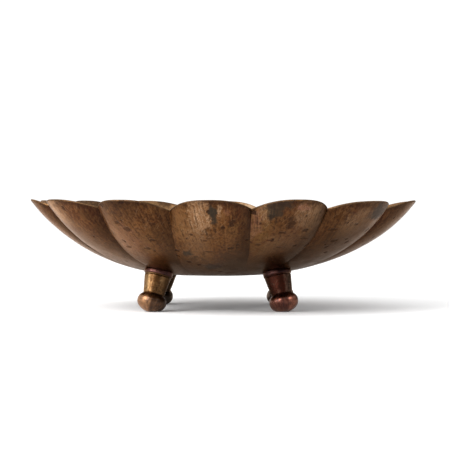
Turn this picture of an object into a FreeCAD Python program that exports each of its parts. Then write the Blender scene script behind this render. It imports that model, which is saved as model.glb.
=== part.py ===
"""Footed brass bowl: a shallow dish raised into fourteen petals, on four splayed turned legs.

Millimetres, +Z up. The origin is on the ground, under the centre of the rim.
Each leg is a collar, a tapered stem and a flattened ball foot, drawn up against the
underside of the dish by one slotted screw from inside, over a washer and a leather seal.
"""
import FreeCAD, Part
import math
import os

from FreeCAD import Vector

# Dish
RIM_RADIUS = 130.0            # axis to the tip of a petal, outside
BASE_HEIGHT = 22.4            # ground to the underside of the flat base
BOWL_DEPTH = 49.6             # underside of the base to the petal tips
WALL = 1.4
PETALS = 14
PETAL_TURN_DEG = -4.5         # centre of the front petal, measured from straight ahead (-Y)
BASE_OFFSET_X = -3.7          # hand raising left the base this far to one side of the rim

# Shape of the wall, as shares of RIM_RADIUS or of BOWL_DEPTH
FLAT_BASE = 0.16              # radius of the flat base
DISH_SHARE = 0.82             # part of the depth that rises as a parabola; the rest is the flare
FLARE_POWER = 7
CREASE_START = 0.36           # radius where the creases between petals begin
CREASE_DEPTH = 0.084          # how far a crease lies inside the petals at the rim
CREASE_POWER = 1.6            # how soon it deepens up the wall
PETAL_POWER = 2.3             # 2 is a parabola across a petal; more is flatter with steeper sides
NOTCH_DROP = 0.034            # how much shorter the wall is at a crease than at a tip
NOTCH_POWER = 2.6

# Hand work, given at each crease in turn from the one left of the front petal. How far it
# strays from even spacing low on the wall and at the rim, and its share of NOTCH_DROP.
LOW_STRAY_DEG = (-3.2, 6.5, 1.3, 3, 1.5, 0, 0, 0, 0, 0, 0, -1.5, -2.5, -1.9)
RIM_STRAY_DEG = (0.5, 0, -0.5, 2.5, 1, 1.5, 3.5, 4.8, 5.8, 5.2, 3.5, 2, -2.4, 0.4)
NOTCH_SHARE = (1.25, 1.05, 0.95, 0.95, 1.05, 0.9, 1.1, 1, 0.95, 1.1, 0.9, 1, 0.95, 0.9)

# Points that each petal's faces pass through, across and up the petal
ACROSS_PETAL = 9
UP_PETAL = 15

# Legs
LEG_NAMES = ("front_right", "back_right", "back_left", "front_left")
FIRST_LEG_DEG = -45.7         # front right leg, measured from +X
LEG_STRAY_DEG = (0, 1, -1, 0)  # the two back legs stand a little closer together
FOOT_CENTRE_RADIUS = 60.7     # leg circle's centre to the centre of a ball foot
FOOT_CENTRE_HEIGHT = 6.5
LEG_TILT_DEG = 18.0           # the feet splay outwards
BALL_RADIUS = 9.5
BALL_HALF_HEIGHT = 7.0
BALL_SIDE_ROUND = 5.6         # radius of the arc round the ball's waist
STEM_FOOT_RADIUS = 6.8        # where the stem stands on the ball
STEM_TOP_RADIUS = 8.9
COLLAR_RADIUS = 9.3
COLLAR_HEIGHT = 3.0
EDGE_BEVEL = 0.45
SEAT_OVERLAP = 0.7            # seats start this deep in the wall and are cut back to its face
AXIS_STEPS = 30               # repeats that settle where a leg's axis meets the dish

# Leg screw, washer and seal
SCREW_RADIUS = 2.5
CLEARANCE_RADIUS = 2.7
THREAD_IN_BALL = 8.0
BLIND_END = 0.4
HEAD_RADIUS = 4.5
HEAD_EDGE = 0.9
HEAD_HEIGHT = 2.4
SLOT_WIDTH = 1.2
SLOT_DEPTH = 1.1
SLOT_TURNS_DEG = (20, 75, 130, 50)   # each screw stopped where it came tight
WASHER_RADIUS = 6.2
WASHER_THICKNESS = 1.0
SEAL_RADIUS = 7.2
SEAL_THICKNESS = 1.2

UP = Vector(0, 0, 1)
CENTRE = Vector(0, 0, 0)


def rise(s):
    """Height of the outer face above the ground and its slope, at radius s * RIM_RADIUS."""
    u = max(0.0, (s - FLAT_BASE) / (1 - FLAT_BASE))
    flare_share = 1 - DISH_SHARE
    height = BASE_HEIGHT + BOWL_DEPTH * (DISH_SHARE * u ** 2 + flare_share * u ** FLARE_POWER)
    per_u = BOWL_DEPTH * (2 * DISH_SHARE * u + FLARE_POWER * flare_share * u ** (FLARE_POWER - 1))
    slope = per_u / ((1 - FLAT_BASE) * RIM_RADIUS)
    return height, slope


def crease_fade(s):
    """0 where the creases begin, 1 at the rim."""
    return max(0.0, (s - CREASE_START) / (1 - CREASE_START))


def smooth(x):
    return x ** 2 * (3 - 2 * x)


def between(values, petal, across):
    """A value given at each crease, blended across a petal."""
    share = (across + 1) / 2
    return values[petal] * (1 - share) + values[(petal + 1) % PETALS] * share


def stray(petal, across, s):
    """Angle by which hand raising moved this place round the bowl."""
    low = between(LOW_STRAY_DEG, petal, across)
    rim = between(RIM_STRAY_DEG, petal, across)
    return math.radians(low + (rim - low) * smooth(crease_fade(s)))


def wall_point(s, across, azimuth, inset):
    """Point of the wall: across is -1 and 1 at a petal's creases, inset is 0 on the outer face."""
    height, slope = rise(s)
    tilt = math.atan(slope)
    fade = crease_fade(s)
    crease = CREASE_DEPTH * fade ** CREASE_POWER * abs(across) ** PETAL_POWER
    radius = (s * RIM_RADIUS - inset * math.sin(tilt)) * (1 - crease)
    offset = BASE_OFFSET_X * (1 - smooth(fade))
    return Vector(radius * math.cos(azimuth) + offset,
                  radius * math.sin(azimuth),
                  height + inset * math.cos(tilt))


def curve_through(points):
    """B-spline through points at even parameters, so that neighbouring faces share their edges."""
    curve = Part.BSplineCurve()
    last = len(points) - 1
    curve.interpolate(Points=list(points), Parameters=[i / last for i in range(last + 1)])
    return curve


def surface_through(rows):
    """B-spline surface through a grid of points."""
    across = [curve_through(row) for row in rows]
    columns = zip(*[curve.getPoles() for curve in across])
    up = [curve_through(column) for column in columns]
    surface = Part.BSplineSurface()
    surface.buildFromPolesMultsKnots(
        [curve.getPoles() for curve in up],
        across[0].getMultiplicities(), up[0].getMultiplicities(),
        across[0].getKnots(), up[0].getKnots(),
        False, False, across[0].Degree, up[0].Degree)
    return surface


def petal_surface(petal, inset):
    """One petal of the wall, from the flat base to the rim."""
    pitch = 2 * math.pi / PETALS
    middle = math.radians(PETAL_TURN_DEG - 90) + petal * pitch
    rows = []
    for j in range(UP_PETAL):
        row = []
        for i in range(ACROSS_PETAL):
            across = 2 * i / (ACROSS_PETAL - 1) - 1
            notch = NOTCH_DROP * between(NOTCH_SHARE, petal, across)
            rim = 1 - notch * abs(across) ** NOTCH_POWER
            s = FLAT_BASE + (rim - FLAT_BASE) * j / (UP_PETAL - 1)
            azimuth = middle + across * pitch / 2 + stray(petal, across, s)
            row.append(wall_point(s, across, azimuth, inset))
        rows.append(row)
    return surface_through(rows)


def base_disc(surfaces):
    """Flat face inside the lower edges of a ring of petals."""
    edges = [surface.vIso(0.0).toShape() for surface in surfaces]
    return Part.Face(Part.Wire(edges))


def dish_blank():
    """The dish before it is drilled: petals outside and inside, a thin rim and two flat discs."""
    outside = [petal_surface(petal, 0.0) for petal in range(PETALS)]
    inside = [petal_surface(petal, WALL) for petal in range(PETALS)]
    faces = [surface.toShape() for surface in outside + inside]
    for outer, inner in zip(outside, inside):
        faces.append(Part.makeRuledSurface(outer.vIso(1.0).toShape(), inner.vIso(1.0).toShape()))
    faces.append(base_disc(outside))
    faces.append(base_disc(inside))
    skin = Part.makeCompound(faces)
    skin.sewShape()
    solid = Part.Solid(skin.Shells[0])
    if solid.Volume < 0:
        solid.reverse()
    return solid


def leg_length():
    """Distance along a leg's axis from the ball's centre to the outer face of the dish."""
    tilt = math.radians(LEG_TILT_DEG)
    length = 0.0
    for _ in range(AXIS_STEPS):
        radius = FOOT_CENTRE_RADIUS - length * math.sin(tilt)
        length = (rise(radius / RIM_RADIUS)[0] - FOOT_CENTRE_HEIGHT) / math.cos(tilt)
    return length


def placed(shape, azimuth_deg):
    """Move a shape from the leg's own frame (ball centre, +Z up the leg) to its place."""
    shape = shape.copy()
    shape.rotate(CENTRE, Vector(0, 1, 0), -LEG_TILT_DEG)
    shape.translate(Vector(FOOT_CENTRE_RADIUS, 0, FOOT_CENTRE_HEIGHT))
    shape.rotate(CENTRE, UP, azimuth_deg)
    shape.translate(Vector(BASE_OFFSET_X, 0, 0))
    return shape


def turned(edges):
    """Solid of revolution about Z from the edges of a closed outline in the XZ plane."""
    return Part.Face(Part.Wire(edges)).revolve(CENTRE, UP, 360)


def polygon(corners):
    """Closed outline with straight sides from (radius, height) corners."""
    points = [Vector(radius, 0, height) for radius, height in corners]
    return Part.makePolygon(points + points[:1]).Edges


def line(start, end):
    return Part.LineSegment(Vector(start[0], 0, start[1]), Vector(end[0], 0, end[1])).toShape()


def ring(inner, outer, low, high):
    return turned(polygon([(inner, low), (outer, low), (outer, high), (inner, high)]))


def largest(shape):
    return max(shape.Solids, key=lambda solid: solid.Volume)


def crown_round():
    """Radius of the arcs over the ball's top and bottom, tangent to the arc round its waist."""
    reach = BALL_RADIUS - BALL_SIDE_ROUND
    return ((reach ** 2 + BALL_HALF_HEIGHT ** 2 - BALL_SIDE_ROUND ** 2)
            / (2 * (BALL_HALF_HEIGHT - BALL_SIDE_ROUND)))


def seat_height():
    """Height above the ball's centre of the flat that the stem stands on."""
    crown = crown_round()
    return math.sqrt(crown ** 2 - STEM_FOOT_RADIUS ** 2) - (crown - BALL_HALF_HEIGHT)


def ball_point(degrees):
    """Point of the ball's outline: the waist is at 0, its bottom at -90 and its top at 90."""
    angle = math.radians(degrees)
    reach = BALL_RADIUS - BALL_SIDE_ROUND
    drop = crown_round() - BALL_HALF_HEIGHT
    if abs(angle) <= math.atan2(drop, reach):
        return Vector(reach + BALL_SIDE_ROUND * math.cos(angle), 0, BALL_SIDE_ROUND * math.sin(angle))
    height = crown_round() * math.sin(abs(angle)) - drop
    return Vector(crown_round() * math.cos(angle), 0, math.copysign(height, angle))


def ball_foot():
    top = seat_height()
    hole_end = top - THREAD_IN_BALL - BLIND_END
    crown = crown_round()
    join = math.degrees(math.atan2(crown - BALL_HALF_HEIGHT, BALL_RADIUS - BALL_SIDE_ROUND))
    seat = math.degrees(math.acos(STEM_FOOT_RADIUS / crown))
    under = Part.Arc(ball_point(-90), ball_point(-(90 + join) / 2), ball_point(-join))
    waist = Part.Arc(ball_point(-join), ball_point(0), ball_point(join))
    shoulder = Part.Arc(ball_point(join), ball_point((join + seat) / 2), ball_point(seat))
    return turned([
        under.toShape(),
        waist.toShape(),
        shoulder.toShape(),
        line((STEM_FOOT_RADIUS, top), (SCREW_RADIUS, top)),
        line((SCREW_RADIUS, top), (SCREW_RADIUS, hole_end)),
        line((SCREW_RADIUS, hole_end), (0, hole_end)),
        line((0, hole_end), (0, -BALL_HALF_HEIGHT)),
    ])


def stem(top):
    low = seat_height()
    return turned(polygon([
        (CLEARANCE_RADIUS, low),
        (STEM_FOOT_RADIUS, low),
        (STEM_TOP_RADIUS, top - EDGE_BEVEL),
        (STEM_TOP_RADIUS - EDGE_BEVEL, top),
        (CLEARANCE_RADIUS, top),
    ]))


def collar(low, dish_face):
    high = dish_face + SEAT_OVERLAP
    return turned(polygon([
        (CLEARANCE_RADIUS, low),
        (COLLAR_RADIUS - EDGE_BEVEL, low),
        (COLLAR_RADIUS, low + EDGE_BEVEL),
        (COLLAR_RADIUS, high),
        (CLEARANCE_RADIUS, high),
    ]))


def screw(head_seat, slot_turn):
    """Slotted screw with a domed head, its shank running down into the ball."""
    tip = seat_height() - THREAD_IN_BALL
    edge = head_seat + HEAD_EDGE
    crown = head_seat + HEAD_HEIGHT
    dome_height = crown - edge
    sphere_radius = (HEAD_RADIUS ** 2 + dome_height ** 2) / (2 * dome_height)
    halfway = HEAD_RADIUS / 2
    shoulder_height = crown - sphere_radius + math.sqrt(sphere_radius ** 2 - halfway ** 2)
    dome = Part.Arc(Vector(HEAD_RADIUS, 0, edge),
                    Vector(halfway, 0, shoulder_height),
                    Vector(0, 0, crown)).toShape()
    blank = turned([
        line((0, tip), (SCREW_RADIUS, tip)),
        line((SCREW_RADIUS, tip), (SCREW_RADIUS, head_seat)),
        line((SCREW_RADIUS, head_seat), (HEAD_RADIUS, head_seat)),
        line((HEAD_RADIUS, head_seat), (HEAD_RADIUS, edge)),
        dome,
        line((0, crown), (0, tip)),
    ])
    slot = Part.makeBox(4 * HEAD_RADIUS, SLOT_WIDTH, HEAD_HEIGHT,
                        Vector(-2 * HEAD_RADIUS, -SLOT_WIDTH / 2, crown - SLOT_DEPTH))
    slot.rotate(CENTRE, UP, slot_turn)
    return blank.cut(slot)


def save(name, shape):
    shape.exportStep("parts/" + name + ".step")
    print(name, "valid", shape.isValid(), "solids", len(shape.Solids),
          "volume", round(shape.Volume, 1))


def build():
    os.makedirs("parts", exist_ok=True)
    dish = dish_blank()
    dish_face = leg_length()
    stem_top = dish_face - COLLAR_HEIGHT
    floor_face = dish_face + WALL
    washer_low = floor_face + SEAL_THICKNESS
    head_seat = washer_low + WASHER_THICKNESS
    ground = Part.makeBox(4 * RIM_RADIUS, 4 * RIM_RADIUS, RIM_RADIUS,
                          Vector(-2 * RIM_RADIUS, -2 * RIM_RADIUS, -RIM_RADIUS))
    seal_blank = ring(CLEARANCE_RADIUS, SEAL_RADIUS, floor_face - SEAT_OVERLAP, washer_low)
    drill = Part.makeCylinder(CLEARANCE_RADIUS, 4 * WALL, Vector(0, 0, dish_face - WALL))

    for number, name in enumerate(LEG_NAMES):
        azimuth = FIRST_LEG_DEG + number * 360 / len(LEG_NAMES) + LEG_STRAY_DEG[number]
        save(name + "_ball_foot", placed(ball_foot(), azimuth).cut(ground))
        save(name + "_stem", placed(stem(stem_top), azimuth))
        save(name + "_collar", largest(placed(collar(stem_top, dish_face), azimuth).cut(dish)))
        save(name + "_seal", largest(placed(seal_blank, azimuth).cut(dish)))
        save(name + "_washer",
             placed(ring(CLEARANCE_RADIUS, WASHER_RADIUS, washer_low, head_seat), azimuth))
        save(name + "_screw", placed(screw(head_seat, SLOT_TURNS_DEG[number]), azimuth))
        dish = dish.cut(placed(drill, azimuth))
    save("bowl_shell", dish)


build()
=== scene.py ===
"""Looks of the footed petal bowl: a raised brass dish with an aged patina on four turned legs."""
import math

import bmesh
import bpy
import numpy as np
from mathutils import Matrix, Vector, noise


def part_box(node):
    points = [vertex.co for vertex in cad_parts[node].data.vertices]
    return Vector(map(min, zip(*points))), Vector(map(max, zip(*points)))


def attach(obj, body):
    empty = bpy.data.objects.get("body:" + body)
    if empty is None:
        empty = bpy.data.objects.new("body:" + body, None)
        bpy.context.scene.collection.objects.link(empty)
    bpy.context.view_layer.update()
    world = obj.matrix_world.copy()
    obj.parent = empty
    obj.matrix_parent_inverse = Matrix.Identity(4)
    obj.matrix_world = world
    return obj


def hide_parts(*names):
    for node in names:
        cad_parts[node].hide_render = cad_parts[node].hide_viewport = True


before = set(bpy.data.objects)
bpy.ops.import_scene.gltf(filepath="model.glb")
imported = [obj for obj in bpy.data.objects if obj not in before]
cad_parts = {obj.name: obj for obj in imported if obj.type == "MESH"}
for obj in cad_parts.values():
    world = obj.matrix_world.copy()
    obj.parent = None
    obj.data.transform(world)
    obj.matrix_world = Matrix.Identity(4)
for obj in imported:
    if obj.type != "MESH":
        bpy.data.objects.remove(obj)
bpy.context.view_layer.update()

MM = 0.001

# The dish, as in the CAD model
RIM_RADIUS = 130 * MM
WALL = 1.4 * MM
PETALS = 14
PETAL_TURN_DEG = -4.5
FLAT_BASE = 0.16
DISH_SHARE = 0.82
FLARE_POWER = 7
CREASE_START = 0.36
CREASE_DEPTH = 0.084
CREASE_POWER = 1.6
PETAL_POWER = 2.3
NOTCH_DROP = 0.034
NOTCH_POWER = 2.6

# Hand work on the dish. The first four rows are given at each crease, three as in the CAD model
LOW_STRAY_DEG = (-3.2, 6.5, 1.3, 3, 1.5, 0, 0, 0, 0, 0, 0, -1.5, -2.5, -1.9)
RIM_STRAY_DEG = (0.5, 0, -0.5, 2.5, 1, 1.5, 3.5, 4.8, 5.8, 5.2, 3.5, 2, -2.4, 0.4)
NOTCH_SHARE = (1.25, 1.05, 0.95, 0.95, 1.05, 0.9, 1.1, 1, 0.95, 1.1, 0.9, 1, 0.95, 0.9)
# Strength of each crease's groove, and of the painted shade along it
CREASE_GROOVE_AND_SHADE = (0.12, 0.7, 1, 0.9, 1, 0.8, 1, 0.9, 0.6, 1, 0.9, 1, 1, 0.9)
TIP_RISE = 0.45 * MM
BELLY = 0.5 * MM
RIM_TILT_DEG = 0.25
CREASE_GROOVE = 0.22 * MM
CREASE_GROOVE_WIDTH = 1.8 * MM
FOLD_SHADE_WIDTH = 3.4 * MM
PLANISH = 0.07 * MM
PLANISH_SIZE = 9 * MM
DENT = 0.25 * MM
DENT_SIZE = 34 * MM

# Mesh of the dish
ACROSS_PETAL = 26
UP_WALL = 72
RIM_STEPS = 6

# Legs, as in the CAD model
LEG_NAMES = ("front_right", "back_right", "back_left", "front_left")
LEG_TILT_DEG = 18.0
FOOT_CENTRE_HEIGHT = 6.5 * MM
BALL_RADIUS = 9.5 * MM
BALL_HALF_HEIGHT = 7.0 * MM
BALL_SIDE_ROUND = 5.6 * MM
STEM_FOOT_RADIUS = 6.8 * MM
STEM_TOP_RADIUS = 8.9 * MM
COLLAR_RADIUS = 9.3 * MM
COLLAR_HEIGHT = 3.0 * MM
SCREW_RADIUS = 2.5 * MM
CLEARANCE_RADIUS = 2.7 * MM
THREAD_IN_BALL = 8.0 * MM
HEAD_RADIUS = 4.5 * MM
HEAD_EDGE = 0.9 * MM
HEAD_HEIGHT = 2.4 * MM
SLOT_WIDTH = 1.2 * MM
SLOT_DEPTH = 1.1 * MM
SLOT_TURNS_DEG = (20, 75, 130, 50)
WASHER_RADIUS = 6.2 * MM
WASHER_THICKNESS = 1.0 * MM
SEAL_RADIUS = 7.2 * MM
SEAL_THICKNESS = 1.2 * MM
TURNED_SIDES = 72
COLLAR_SPARE = 3 * MM          # a collar is drawn this much too high before it is fitted
COLLAR_SUNK = 0.25 * MM
SEAL_SPARE = 2 * MM
SEAL_SUNK = 0.2 * MM
BLIND_END = 0.4 * MM
ON_AXIS = 1e-7
THREAD_BEVEL = 0.4 * MM
HEAD_STEPS = 13
BALL_STEPS = 48
TAPER_STEPS = 21

# Camera
CAMERA_DISTANCE = 9 * RIM_RADIUS
CAMERA_BELOW_TIPS = 3.6 * MM
CAMERA_RIGHT = 0.5 * MM
AIM_BELOW_CAMERA = 12.5 * MM
LENS = 138.8

BASE_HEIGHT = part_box("bowl_shell")[0].z
BOWL_DEPTH = 49.6 * MM
feet = [sum(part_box(name + "_ball_foot"), Vector()) / 2 for name in LEG_NAMES]
BASE_OFFSET_X = sum(foot.x for foot in feet) / len(feet)


# ---------------------------------------------------------------- shape of the dish

def rise(s):
    """Height of the outer face and its slope, at s * RIM_RADIUS."""
    u = np.maximum(0.0, (s - FLAT_BASE) / (1 - FLAT_BASE))
    flare = 1 - DISH_SHARE
    height = BASE_HEIGHT + BOWL_DEPTH * (DISH_SHARE * u ** 2 + flare * u ** FLARE_POWER)
    per_u = BOWL_DEPTH * (2 * DISH_SHARE * u + FLARE_POWER * flare * u ** (FLARE_POWER - 1))
    return height, per_u / ((1 - FLAT_BASE) * RIM_RADIUS)


def fade_in(s):
    return np.clip((s - CREASE_START) / (1 - CREASE_START), 0.0, 1.0)


def smooth(x):
    return x ** 2 * (3 - 2 * x)


class Petals:
    """Columns of the dish's mesh, with each petal's own hand-made differences."""

    def __init__(self):
        draw = np.random.RandomState(5)
        tips = draw.uniform(-1, 1, PETALS)
        bellies = draw.uniform(-1, 1, PETALS)
        steps = np.arange(ACROSS_PETAL) / ACROSS_PETAL
        across = np.sin((2 * steps - 1) * math.pi / 2)
        self.across = np.tile(across, PETALS)
        petal = np.repeat(np.arange(PETALS), ACROSS_PETAL)
        pitch = 2 * math.pi / PETALS
        self.turn = (petal + self.across / 2) * pitch
        self.azimuth = self.turn + math.radians(PETAL_TURN_DEG - 90)
        self.tip = tips[petal]
        self.belly = bellies[petal]
        share = (self.across + 1) / 2

        def between(values):
            values = np.array(values + values[:1], float)
            return values[petal] * (1 - share) + values[petal + 1] * share

        self.low_stray = np.radians(between(LOW_STRAY_DEG))
        self.rim_stray = np.radians(between(RIM_STRAY_DEG))
        self.sharp = between(CREASE_GROOVE_AND_SHADE)
        self.rim = 1 - NOTCH_DROP * between(NOTCH_SHARE) * np.abs(self.across) ** NOTCH_POWER

    def stray(self, fade):
        """Angle by which hand raising moved the wall from even spacing."""
        return self.low_stray + (self.rim_stray - self.low_stray) * smooth(fade)

    def points(self, s, inset, beyond=0.0):
        """A ring of the wall at shares s: inset from the outer face, beyond it along the wall."""
        height, slope = rise(s)
        tilt = np.arctan(slope)
        fade = fade_in(s)
        crown = 1 - self.across ** 2
        crease = CREASE_DEPTH * fade ** CREASE_POWER * np.abs(self.across) ** PETAL_POWER
        radius = s * RIM_RADIUS - inset * np.sin(tilt) + beyond * np.cos(tilt)
        radius = radius * (1 - crease) + BELLY * self.belly * crown * fade * (1 - fade) * 4
        side = (1 - np.abs(self.across)) * s * RIM_RADIUS * math.pi / PETALS
        groove = np.exp(-(side / CREASE_GROOVE_WIDTH) ** 2) * np.minimum(1.0, fade * 3)
        groove = groove * self.sharp
        radius = radius - CREASE_GROOVE * groove * np.sin(tilt)
        height = height + inset * np.cos(tilt) + beyond * np.sin(tilt)
        height = height + TIP_RISE * self.tip * crown * fade ** 3
        height = height + CREASE_GROOVE * groove * np.cos(tilt)
        azimuth = self.azimuth + self.stray(fade)
        offset = BASE_OFFSET_X * (1 - smooth(fade))
        x = radius * np.cos(azimuth)
        height = height - x * math.tan(math.radians(RIM_TILT_DEG)) * fade
        ring = np.stack([x + offset, radius * np.sin(azimuth), height], 1)
        normal = np.stack([-np.sin(tilt) * np.cos(azimuth),
                           -np.sin(tilt) * np.sin(azimuth), np.cos(tilt) + 0 * azimuth], 1)
        return ring, normal


def unevenness(point):
    """Planishing marks and shallow dents of the sheet at a point, along its normal."""
    p = Vector(point)
    planished = noise.noise(p / PLANISH_SIZE) * PLANISH
    dented = noise.noise(p / DENT_SIZE + Vector((3.1, 5.7, 1.9))) * DENT
    return planished + dented


def build_dish():
    petals = Petals()
    rings = []
    places = []

    def add(s, inset, inside, wear, beyond=0.0):
        s = s + 0 * petals.across
        ring, normal = petals.points(s, inset, beyond)
        middle, _ = petals.points(s, WALL / 2)
        shift = np.array([unevenness(p) for p in middle])
        rings.append(ring + normal * shift[:, None])
        side = (1 - np.abs(petals.across)) * s * RIM_RADIUS * math.pi / PETALS
        # Painted shade along each crease, fading out towards the base
        fold = np.exp(-side / FOLD_SHADE_WIDTH) * np.minimum(1.0, fade_in(s) * 2.5) * petals.sharp
        turn = petals.turn + petals.stray(fade_in(s))
        flags = (inside + 0 * s, wear + 0 * s)
        places.append(np.stack([np.cos(turn), np.sin(turn), s, *flags, fold, petals.across], 1))

    tilt = np.arctan(rise(petals.rim)[1])
    rim = petals.rim - WALL / 2 * np.cos(tilt) / RIM_RADIUS
    climb = 1 - (1 - np.arange(UP_WALL + 1) / UP_WALL) ** 1.25
    outer = [FLAT_BASE * k for k in (0.06, 0.3, 0.55, 0.8)]
    outer += [FLAT_BASE + (rim - FLAT_BASE) * c for c in climb]
    for s in outer:
        add(s, 0.0, 0.0, 0.0)
    for k in range(1, RIM_STEPS):
        turn = math.pi * (k / RIM_STEPS - 0.5)
        add(rim, WALL / 2 * (1 + math.sin(turn)), k / RIM_STEPS, 1.0, WALL / 2 * math.cos(turn))
    for s in reversed(outer):
        add(s, WALL, 1.0, 0.0)

    columns = len(petals.across)
    vertices = np.concatenate(rings)
    place = np.concatenate(places)
    faces = []
    for j in range(len(rings) - 1):
        for i in range(columns):
            k = (i + 1) % columns
            faces.append((j * columns + i, j * columns + k,
                          (j + 1) * columns + k, (j + 1) * columns + i))
    under = len(vertices)
    top = under + 1
    poles = [[BASE_OFFSET_X, 0, rings[0][:, 2].mean()], [BASE_OFFSET_X, 0, rings[-1][:, 2].mean()]]
    vertices = np.concatenate([vertices, poles])
    place = np.concatenate([place, [[1, 0, 0, 0, 0, 0, 0], [1, 0, 0, 1, 0, 0, 0]]])
    last = (len(rings) - 1) * columns
    for i in range(columns):
        k = (i + 1) % columns
        faces.append((k, i, under))
        faces.append((last + i, last + k, top))
    piece = new_piece("dish", vertices, faces)
    add_attribute(piece, "place", place[:, :3])
    add_attribute(piece, "inside", place[:, 3])
    add_attribute(piece, "wear", place[:, 4])
    add_attribute(piece, "fold", place[:, 5])
    add_attribute(piece, "across", place[:, 6])
    return piece


# ---------------------------------------------------------------- making pieces

def new_piece(name, vertices, faces):
    mesh = bpy.data.meshes.new(name)
    mesh.from_pydata([tuple(v) for v in vertices], [], faces)
    mesh.validate()
    work = bmesh.new()
    work.from_mesh(mesh)
    bmesh.ops.recalc_face_normals(work, faces=work.faces)
    work.to_mesh(mesh)
    work.free()
    mesh.shade_smooth()
    piece = bpy.data.objects.new(name, mesh)
    bpy.context.scene.collection.objects.link(piece)
    return piece


def add_attribute(piece, name, values):
    values = np.asarray(values, np.float32)
    if values.ndim == 2:
        layer = piece.data.attributes.new(name, "FLOAT_VECTOR", "POINT")
        layer.data.foreach_set("vector", values.ravel())
    else:
        layer = piece.data.attributes.new(name, "FLOAT", "POINT")
        layer.data.foreach_set("value", values)


def finish_piece(piece, node, material):
    piece.data.materials.clear()
    piece.data.materials.append(material)
    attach(piece, "root")
    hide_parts(node)


# ---------------------------------------------------------------- legs

def leg_matrix(foot):
    """From a leg's own frame, ball centre and +Z up the leg, to the row's frame."""
    azimuth = math.atan2(foot.y, foot.x - BASE_OFFSET_X)
    place = Matrix.Translation((foot.x, foot.y, FOOT_CENTRE_HEIGHT))
    return place @ Matrix.Rotation(azimuth, 4, "Z") @ Matrix.Rotation(
        -math.radians(LEG_TILT_DEG), 4, "Y")


def dish_height(matrix, x, y, inset):
    """Height in a leg's frame of the dish's wall above the point x, y of that frame."""
    z = 20 * MM
    for _ in range(12):
        p = matrix @ Vector((x, y, z))
        radius = math.hypot(p.x - BASE_OFFSET_X, p.y)
        height, slope = rise(radius / RIM_RADIUS)
        height += inset * math.hypot(1, slope)
        z += (height - p.z) * 0.9
    return z


def crown_round():
    reach = BALL_RADIUS - BALL_SIDE_ROUND
    return ((reach ** 2 + BALL_HALF_HEIGHT ** 2 - BALL_SIDE_ROUND ** 2)
            / (2 * (BALL_HALF_HEIGHT - BALL_SIDE_ROUND)))


def ball_radius_height(degrees):
    angle = math.radians(degrees)
    reach = BALL_RADIUS - BALL_SIDE_ROUND
    drop = crown_round() - BALL_HALF_HEIGHT
    if abs(angle) <= math.atan2(drop, reach):
        return (reach + BALL_SIDE_ROUND * math.cos(angle), BALL_SIDE_ROUND * math.sin(angle))
    height = crown_round() * math.sin(abs(angle)) - drop
    return (crown_round() * math.cos(angle), math.copysign(height, angle))


def lathe(name, outline, closed=True):
    """Turned piece from (radius, height) points. An outline that isn't closed ends on the axis."""
    vertices = []
    faces = []
    starts = []
    for radius, height in outline:
        starts.append(len(vertices))
        count = TURNED_SIDES if radius > ON_AXIS else 1
        for i in range(count):
            angle = 2 * math.pi * i / TURNED_SIDES
            vertices.append((radius * math.cos(angle), radius * math.sin(angle), height))
    pairs = list(zip(range(len(outline) - 1), range(1, len(outline))))
    if closed:
        pairs.append((len(outline) - 1, 0))
    for a, b in pairs:
        flat_a = outline[a][0] <= ON_AXIS
        flat_b = outline[b][0] <= ON_AXIS
        for i in range(TURNED_SIDES):
            k = (i + 1) % TURNED_SIDES
            if flat_a:
                faces.append((starts[a], starts[b] + k, starts[b] + i))
            elif flat_b:
                faces.append((starts[a] + i, starts[a] + k, starts[b]))
            else:
                faces.append((starts[a] + i, starts[a] + k, starts[b] + k, starts[b] + i))
    piece = new_piece(name, vertices, faces)
    add_attribute(piece, "turned", vertices)
    return piece


def rounded(corners, radius, steps=4):
    """The closed outline with every corner rounded."""
    out = []
    count = len(corners)
    for i, corner in enumerate(corners):
        here = Vector(corner).to_2d()
        before = Vector(corners[i - 1]).to_2d() - here
        after = Vector(corners[(i + 1) % count]).to_2d() - here
        reach = min(radius, before.length * 0.45, after.length * 0.45)
        start = here + before.normalized() * reach
        end = here + after.normalized() * reach
        for k in range(steps + 1):
            t = k / steps
            point = start * (1 - t) ** 2 + here * 2 * t * (1 - t) + end * t ** 2
            out.append((point.x, point.y))
    return out


def along(start, end, count):
    return [(start[0] + (end[0] - start[0]) * k / count,
             start[1] + (end[1] - start[1]) * k / count) for k in range(count)]


def wear_flat(piece):
    """Rub the lowest part of a foot flat on the ground."""
    soft = 0.2 * MM
    for vertex in piece.data.vertices:
        z = vertex.co.z
        vertex.co.z = (z + math.sqrt(z * z + soft * soft)) / 2


def roughen(piece, depth, size, seed):
    """Small irregularities of hand turning."""
    shift = Vector((seed * 7.3, seed * 3.1, seed * 5.9))
    for vertex in piece.data.vertices:
        vertex.co += vertex.normal * noise.noise(vertex.co / size + shift) * depth


def cut_slot(piece, low, turn):
    """Sawn slot across a screw's head."""
    half = Vector((2 * HEAD_RADIUS, SLOT_WIDTH / 2, HEAD_HEIGHT))
    box = [Vector((x * half.x, y * half.y, low + (z + 1) / 2 * half.z))
           for z in (-1, 1) for y in (-1, 1) for x in (-1, 1)]
    spin = Matrix.Rotation(turn, 3, "Z")
    quads = [(0, 1, 3, 2), (4, 5, 7, 6), (0, 1, 5, 4), (2, 3, 7, 6), (0, 2, 6, 4), (1, 3, 7, 5)]
    cutter = new_piece("slot_cutter", [spin @ p for p in box], quads)
    change = piece.modifiers.new("slot", "BOOLEAN")
    change.operation = "DIFFERENCE"
    change.solver = "EXACT"
    change.object = cutter
    apply_modifiers(piece)
    bpy.data.objects.remove(cutter)


def apply_modifiers(piece):
    graph = bpy.context.evaluated_depsgraph_get()
    mesh = bpy.data.meshes.new_from_object(piece.evaluated_get(graph))
    piece.modifiers.clear()
    piece.data = mesh


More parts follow.
